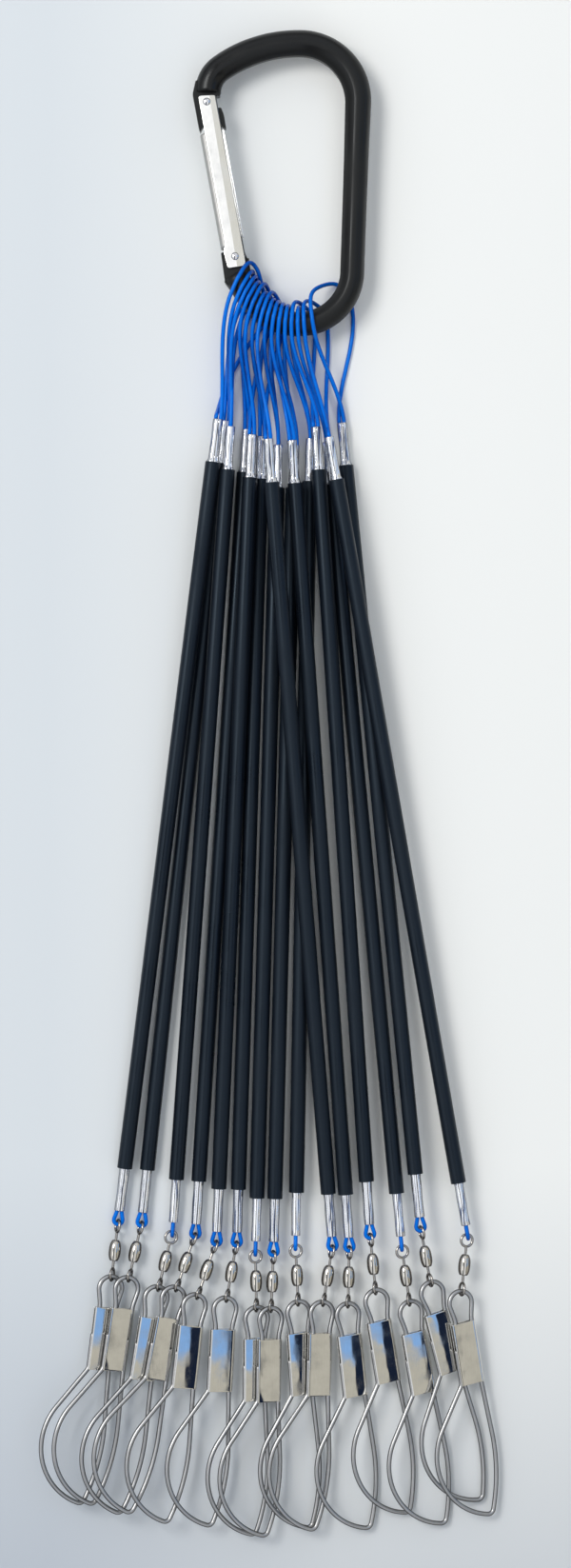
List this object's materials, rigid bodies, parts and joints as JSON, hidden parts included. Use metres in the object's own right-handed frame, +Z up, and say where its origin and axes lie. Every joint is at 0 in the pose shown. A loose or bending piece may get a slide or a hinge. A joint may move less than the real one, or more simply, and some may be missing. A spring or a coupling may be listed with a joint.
{
  "type": "fish stringer",
  "caption": "Carabiner holding a fan of sleeved blue cable leaders, each ending in a barrel swivel and a wire safety snap.",
  "frame": {"origin": "centre of the laid-out part's box, on the surface that it lies on", "axes": "+Y from the snaps towards the carabiner, along the leaders; +Z up from the surface; +X to the carabiner's closed side"},
  "size_m": [0.1206, 0.3954, 0.0154],
  "materials": {
    "black_anodised": "satin black anodised",
    "gate_sheet": "bright polished sheet",
    "bright_steel": "polished",
    "spring_wire": "satin stainless wire",
    "clasp_steel": "polished sheet and wire",
    "swivel_metal": "polished nickel",
    "crimp_metal": "bright drawn tube",
    "blue_cable": "clear blue coating",
    "black_sleeve": "satin tube"
  },
  "bodies": {
    "carabiner": {"carabiner_frame": "black_anodised", "gate_pivot_rivet": "bright_steel"},
    "gate": {"gate_channel": "gate_sheet", "gate_latch_pin": "bright_steel", "gate_plunger": "bright_steel", "gate_spring": "spring_wire"},
    "lines": {"upper_loops": "blue_cable", "leader_cables": "blue_cable", "upper_crimps": "crimp_metal", "sleeve_tubes": "black_sleeve", "lower_crimps": "crimp_metal", "swivel_top_eyes": "spring_wire", "swivel_bottom_eyes": "spring_wire"},
    "barrel_01": {"swivel_barrel_01": "swivel_metal"},
    "snap_01": {"snap_body_01": "clasp_steel"},
    "arm_01": {"snap_arm_01": "spring_wire"},
    "barrel_02": {"swivel_barrel_02": "swivel_metal"},
    "snap_02": {"snap_body_02": "clasp_steel"},
    "arm_02": {"snap_arm_02": "spring_wire"},
    "barrel_03": {"swivel_barrel_03": "swivel_metal"},
    "snap_03": {"snap_body_03": "clasp_steel"},
    "arm_03": {"snap_arm_03": "spring_wire"},
    "barrel_04": {"swivel_barrel_04": "swivel_metal"},
    "snap_04": {"snap_body_04": "clasp_steel"},
    "arm_04": {"snap_arm_04": "spring_wire"},
    "barrel_05": {"swivel_barrel_05": "swivel_metal"},
    "snap_05": {"snap_body_05": "clasp_steel"},
    "arm_05": {"snap_arm_05": "spring_wire"},
    "barrel_06": {"swivel_barrel_06": "swivel_metal"},
    "snap_06": {"snap_body_06": "clasp_steel"},
    "arm_06": {"snap_arm_06": "spring_wire"},
    "barrel_07": {"swivel_barrel_07": "swivel_metal"},
    "snap_07": {"snap_body_07": "clasp_steel"},
    "arm_07": {"snap_arm_07": "spring_wire"},
    "barrel_08": {"swivel_barrel_08": "swivel_metal"},
    "snap_08": {"snap_body_08": "clasp_steel"},
    "arm_08": {"snap_arm_08": "spring_wire"},
    "barrel_09": {"swivel_barrel_09": "swivel_metal"},
    "snap_09": {"snap_body_09": "clasp_steel"},
    "arm_09": {"snap_arm_09": "spring_wire"},
    "barrel_10": {"swivel_barrel_10": "swivel_metal"},
    "snap_10": {"snap_body_10": "clasp_steel"},
    "arm_10": {"snap_arm_10": "spring_wire"},
    "barrel_11": {"swivel_barrel_11": "swivel_metal"},
    "snap_11": {"snap_body_11": "clasp_steel"},
    "arm_11": {"snap_arm_11": "spring_wire"},
    "barrel_12": {"swivel_barrel_12": "swivel_metal"},
    "snap_12": {"snap_body_12": "clasp_steel"},
    "arm_12": {"snap_arm_12": "spring_wire"},
    "barrel_13": {"swivel_barrel_13": "swivel_metal"},
    "snap_13": {"snap_body_13": "clasp_steel"},
    "arm_13": {"snap_arm_13": "spring_wire"},
    "barrel_14": {"swivel_barrel_14": "swivel_metal"},
    "snap_14": {"snap_body_14": "clasp_steel"},
    "arm_14": {"snap_arm_14": "spring_wire"},
    "barrel_15": {"swivel_barrel_15": "swivel_metal"},
    "snap_15": {"snap_body_15": "clasp_steel"},
    "arm_15": {"snap_arm_15": "spring_wire"}
  },
  "joints": [
    {"name": "gate_hinge", "type": "hinge", "parent": "carabiner", "child": "gate", "pos_m": [-0.00897, 0.13824, 0.00604], "axis": [0, 0, 1], "range_deg": [-30, 0], "stiffness_Nm_per_rad": 0.01, "springref_deg": 11.46},
    {"name": "carabiner_tilt", "type": "hinge", "parent": "carabiner", "child": "lines", "pos_m": [0.00773, 0.12084, 0.00604], "axis": [1, 0, 0], "range_deg": [-75, 0], "deforming": ["upper_loops"]},
    {"name": "swivel_spin_01", "type": "hinge", "parent": "lines", "child": "barrel_01", "pos_m": [-0.04077, -0.12258, 0.00237], "axis": [0.1113, 0.993, -0.0405], "continuous": true},
    {"name": "snap_swing_01", "type": "hinge", "parent": "lines", "child": "snap_01", "pos_m": [-0.04154, -0.12944, 0.00265], "axis": [0.342, 0, 0.9397], "range_deg": [-8, 8]},
    {"name": "arm_spring_01", "type": "hinge", "parent": "snap_01", "child": "arm_01", "pos_m": [-0.04899, -0.18827, 0.00537], "axis": [0.342, 0, 0.9397], "range_deg": [0, 25], "stiffness_Nm_per_rad": 0.02, "springref_deg": -11.46},
    {"name": "swivel_spin_02", "type": "hinge", "parent": "lines", "child": "barrel_02", "pos_m": [-0.03541, -0.12288, 0.00277], "axis": [0.2162, 0.9732, -0.0787], "continuous": true},
    {"name": "snap_swing_02", "type": "hinge", "parent": "lines", "child": "snap_02", "pos_m": [-0.0369, -0.1296, 0.00331], "axis": [0.342, 0, 0.9397], "range_deg": [-8, 8]},
    {"name": "arm_spring_02", "type": "hinge", "parent": "snap_02", "child": "arm_02", "pos_m": [-0.04587, -0.18818, 0.00657], "axis": [0.342, 0, 0.9397], "range_deg": [0, 25], "stiffness_Nm_per_rad": 0.02, "springref_deg": -11.46},
    {"name": "swivel_spin_03", "type": "hinge", "parent": "lines", "child": "barrel_03", "pos_m": [-0.02747, -0.12538, 0.00274], "axis": [0.2385, 0.9673, -0.0868], "continuous": true},
    {"name": "snap_swing_03", "type": "hinge", "parent": "lines", "child": "snap_03", "pos_m": [-0.02911, -0.13205, 0.00334], "axis": [0.342, 0, 0.9397], "range_deg": [-8, 8]},
    {"name": "arm_spring_03", "type": "hinge", "parent": "snap_03", "child": "arm_03", "pos_m": [-0.03879, -0.19051, 0.00687], "axis": [0.342, 0, 0.9397], "range_deg": [0, 25], "stiffness_Nm_per_rad": 0.02, "springref_deg": -11.46},
    {"name": "swivel_spin_04", "type": "hinge", "parent": "lines", "child": "barrel_04", "pos_m": [-0.0221, -0.12564, 0.00313], "axis": [0.3214, 0.9397, -0.117], "continuous": true},
    {"name": "snap_swing_04", "type": "hinge", "parent": "lines", "child": "snap_04", "pos_m": [-0.02432, -0.13212, 0.00394], "axis": [0.342, 0, 0.9397], "range_deg": [-8, 8]},
    {"name": "arm_spring_04", "type": "hinge", "parent": "snap_04", "child": "arm_04", "pos_m": [-0.03598, -0.19014, 0.00818], "axis": [0.342, 0, 0.9397], "range_deg": [0, 25], "stiffness_Nm_per_rad": 0.02, "springref_deg": -11.46},
    {"name": "swivel_spin_05", "type": "hinge", "parent": "lines", "child": "barrel_05", "pos_m": [-0.01653, -0.12759, 0.00345], "axis": [0.3214, 0.9397, -0.117], "continuous": true},
    {"name": "snap_swing_05", "type": "hinge", "parent": "lines", "child": "snap_05", "pos_m": [-0.01875, -0.13407, 0.00426], "axis": [0.342, 0, 0.9397], "range_deg": [-8, 8]},
    {"name": "arm_spring_05", "type": "hinge", "parent": "snap_05", "child": "arm_05", "pos_m": [-0.02641, -0.1928, 0.00704], "axis": [0.342, 0, 0.9397], "range_deg": [0, 25], "stiffness_Nm_per_rad": 0.02, "springref_deg": -11.46},
    {"name": "swivel_spin_06", "type": "hinge", "parent": "lines", "child": "barrel_06", "pos_m": [-0.01, -0.12808, 0.00341], "axis": [0.1712, 0.9833, -0.0623], "continuous": true},
    {"name": "snap_swing_06", "type": "hinge", "parent": "lines", "child": "snap_06", "pos_m": [-0.01118, -0.13486, 0.00384], "axis": [0.342, 0, 0.9397], "range_deg": [-8, 8]},
    {"name": "arm_spring_06", "type": "hinge", "parent": "snap_06", "child": "arm_06", "pos_m": [-0.01507, -0.19406, 0.00526], "axis": [0.342, 0, 0.9397], "range_deg": [0, 25], "stiffness_Nm_per_rad": 0.02, "springref_deg": -11.46},
    {"name": "swivel_spin_07", "type": "hinge", "parent": "lines", "child": "barrel_07", "pos_m": [-0.00357, -0.13049, 0.00341], "axis": [-0.0164, 0.9998, 0.006], "continuous": true},
    {"name": "snap_swing_07", "type": "hinge", "parent": "lines", "child": "snap_07", "pos_m": [-0.00345, -0.13739, 0.00337], "axis": [0.342, 0, 0.9397], "range_deg": [-8, 8]},
    {"name": "arm_spring_07", "type": "hinge", "parent": "snap_07", "child": "arm_07", "pos_m": [-0.00361, -0.19675, 0.00343], "axis": [0.342, 0, 0.9397], "range_deg": [0, 25], "stiffness_Nm_per_rad": 0.02, "springref_deg": -11.46},
    {"name": "swivel_spin_08", "type": "hinge", "parent": "lines", "child": "barrel_08", "pos_m": [0.00072, -0.13055, 0.00419], "axis": [0.041, 0.999, -0.0149], "continuous": true},
    {"name": "snap_swing_08", "type": "hinge", "parent": "lines", "child": "snap_08", "pos_m": [0.00044, -0.13744, 0.00429], "axis": [0.342, 0, 0.9397], "range_deg": [-8, 8]},
    {"name": "arm_spring_08", "type": "hinge", "parent": "snap_08", "child": "arm_08", "pos_m": [-0.00064, -0.1968, 0.00469], "axis": [0.342, 0, 0.9397], "range_deg": [0, 25], "stiffness_Nm_per_rad": 0.02, "springref_deg": -11.46},
    {"name": "swivel_spin_09", "type": "hinge", "parent": "lines", "child": "barrel_09", "pos_m": [0.0072, -0.12889, 0.00417], "axis": [-0.0459, 0.9988, 0.0167], "continuous": true},
    {"name": "snap_swing_09", "type": "hinge", "parent": "lines", "child": "snap_09", "pos_m": [0.00752, -0.13578, 0.00406], "axis": [0.342, 0, 0.9397], "range_deg": [-8, 8]},
    {"name": "arm_spring_09", "type": "hinge", "parent": "snap_09", "child": "arm_09", "pos_m": [0.01114, -0.19503, 0.00274], "axis": [0.342, 0, 0.9397], "range_deg": [0, 25], "stiffness_Nm_per_rad": 0.02, "springref_deg": -11.46},
    {"name": "swivel_spin_10", "type": "hinge", "parent": "lines", "child": "barrel_10", "pos_m": [0.01532, -0.12912, 0.00356], "axis": [0.1567, 0.986, -0.057], "continuous": true},
    {"name": "snap_swing_10", "type": "hinge", "parent": "lines", "child": "snap_10", "pos_m": [0.01424, -0.13592, 0.00395], "axis": [0.342, 0, 0.9397], "range_deg": [-8, 8]},
    {"name": "arm_spring_10", "type": "hinge", "parent": "snap_10", "child": "arm_10", "pos_m": [0.01206, -0.19522, 0.00475], "axis": [0.342, 0, 0.9397], "range_deg": [0, 25], "stiffness_Nm_per_rad": 0.02, "springref_deg": -11.46},
    {"name": "swivel_spin_11", "type": "hinge", "parent": "lines", "child": "barrel_11", "pos_m": [0.02083, -0.12941, 0.0039], "axis": [0.023, 0.9997, -0.0084], "continuous": true},
    {"name": "snap_swing_11", "type": "hinge", "parent": "lines", "child": "snap_11", "pos_m": [0.02067, -0.1363, 0.00396], "axis": [0.342, 0, 0.9397], "range_deg": [-8, 8]},
    {"name": "arm_spring_11", "type": "hinge", "parent": "snap_11", "child": "arm_11", "pos_m": [0.02664, -0.1953, 0.00178], "axis": [0.342, 0, 0.9397], "range_deg": [0, 25], "stiffness_Nm_per_rad": 0.02, "springref_deg": -11.46},
    {"name": "swivel_spin_12", "type": "hinge", "parent": "lines", "child": "barrel_12", "pos_m": [0.02718, -0.12582, 0.005], "axis": [-0.0982, 0.9945, 0.0358], "continuous": true},
    {"name": "snap_swing_12", "type": "hinge", "parent": "lines", "child": "snap_12", "pos_m": [0.02786, -0.13268, 0.00475], "axis": [0.342, 0, 0.9397], "range_deg": [-8, 8]},
    {"name": "arm_spring_12", "type": "hinge", "parent": "snap_12", "child": "arm_12", "pos_m": [0.03704, -0.19123, 0.00141], "axis": [0.342, 0, 0.9397], "range_deg": [0, 25], "stiffness_Nm_per_rad": 0.02, "springref_deg": -11.46},
    {"name": "swivel_spin_13", "type": "hinge", "parent": "lines", "child": "barrel_13", "pos_m": [0.03578, -0.12882, 0.00528], "axis": [-0.1405, 0.9888, 0.0511], "continuous": true},
    {"name": "snap_swing_13", "type": "hinge", "parent": "lines", "child": "snap_13", "pos_m": [0.03674, -0.13565, 0.00493], "axis": [0.342, 0, 0.9397], "range_deg": [-8, 8]},
    {"name": "arm_spring_13", "type": "hinge", "parent": "snap_13", "child": "arm_13", "pos_m": [0.04651, -0.19409, 0.00137], "axis": [0.342, 0, 0.9397], "range_deg": [0, 25], "stiffness_Nm_per_rad": 0.02, "springref_deg": -11.46},
    {"name": "swivel_spin_14", "type": "hinge", "parent": "lines", "child": "barrel_14", "pos_m": [0.04098, -0.12359, 0.00666], "axis": [-0.1745, 0.9826, 0.0635], "continuous": true},
    {"name": "snap_swing_14", "type": "hinge", "parent": "lines", "child": "snap_14", "pos_m": [0.04218, -0.13037, 0.00622], "axis": [0.342, 0, 0.9397], "range_deg": [-8, 8]},
    {"name": "arm_spring_14", "type": "hinge", "parent": "snap_14", "child": "arm_14", "pos_m": [0.0562, -0.18782, 0.00112], "axis": [0.342, 0, 0.9397], "range_deg": [0, 25], "stiffness_Nm_per_rad": 0.02, "springref_deg": -11.46},
    {"name": "swivel_spin_15", "type": "hinge", "parent": "lines", "child": "barrel_15", "pos_m": [0.05117, -0.126, 0.00529], "axis": [0.1015, 0.9942, -0.0369], "continuous": true},
    {"name": "snap_swing_15", "type": "hinge", "parent": "lines", "child": "snap_15", "pos_m": [0.05047, -0.13286, 0.00554], "axis": [0.342, 0, 0.9397], "range_deg": [-8, 8]},
    {"name": "arm_spring_15", "type": "hinge", "parent": "snap_15", "child": "arm_15", "pos_m": [0.05885, -0.19144, 0.0025], "axis": [0.342, 0, 0.9397], "range_deg": [0, 25], "stiffness_Nm_per_rad": 0.02, "springref_deg": -11.46}
  ]
}
